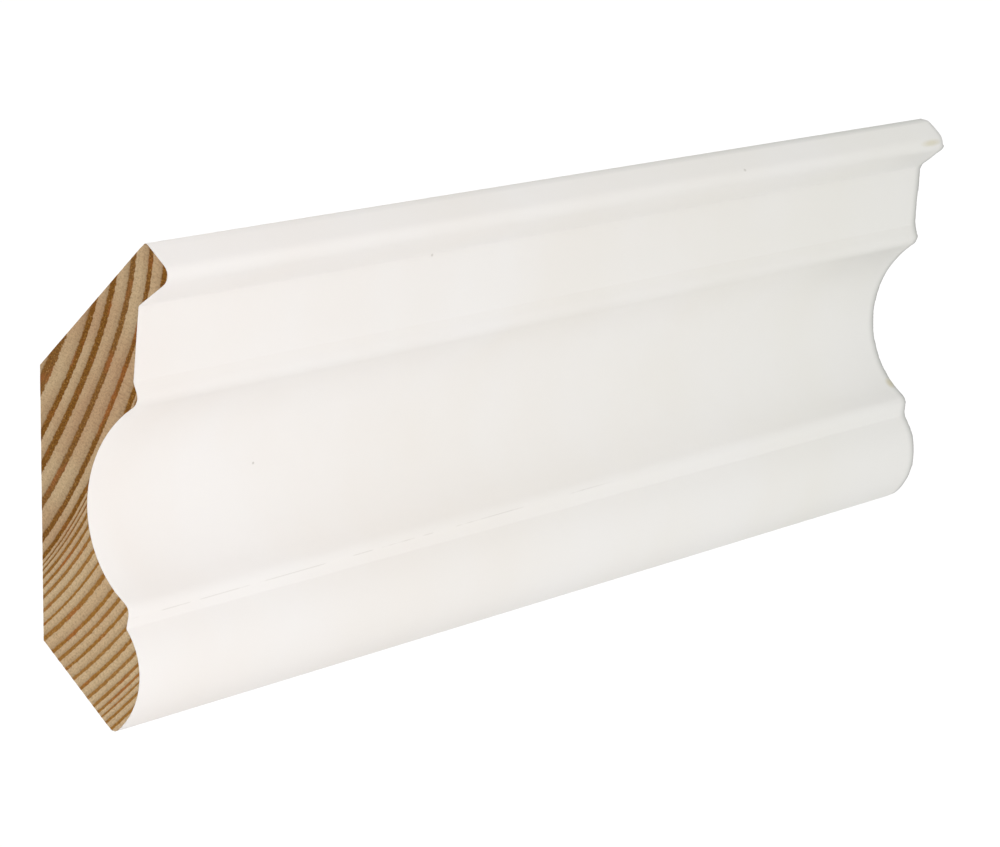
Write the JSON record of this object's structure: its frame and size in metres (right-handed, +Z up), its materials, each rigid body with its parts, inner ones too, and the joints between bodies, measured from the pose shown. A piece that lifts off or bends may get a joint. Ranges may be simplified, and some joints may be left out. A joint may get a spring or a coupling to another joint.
{
  "type": "crown moulding length",
  "caption": "Short straight length of painted softwood crown moulding, with a nose, frieze, cove, bead and swelled toe, and a raw-sawn end.",
  "frame": {"origin": "middle of the face that seats on the wall, half-way along the length", "axes": "+X along the length, from the raw-sawn end to the painted end; -Y out of the show side; +Z up along the flat back, from the toe to the top arris. In place, the part is turned 45 degrees about +X: then the wall face looks along +Y and the ceiling face looks up."},
  "size_m": [0.32, 0.0294, 0.092],
  "materials": {
    "painted_pine": "satin",
    "raw_pine": "matte"
  },
  "bodies": {
    "root": {"crown_moulding": "painted_pine"}
  },
  "joints": []
}
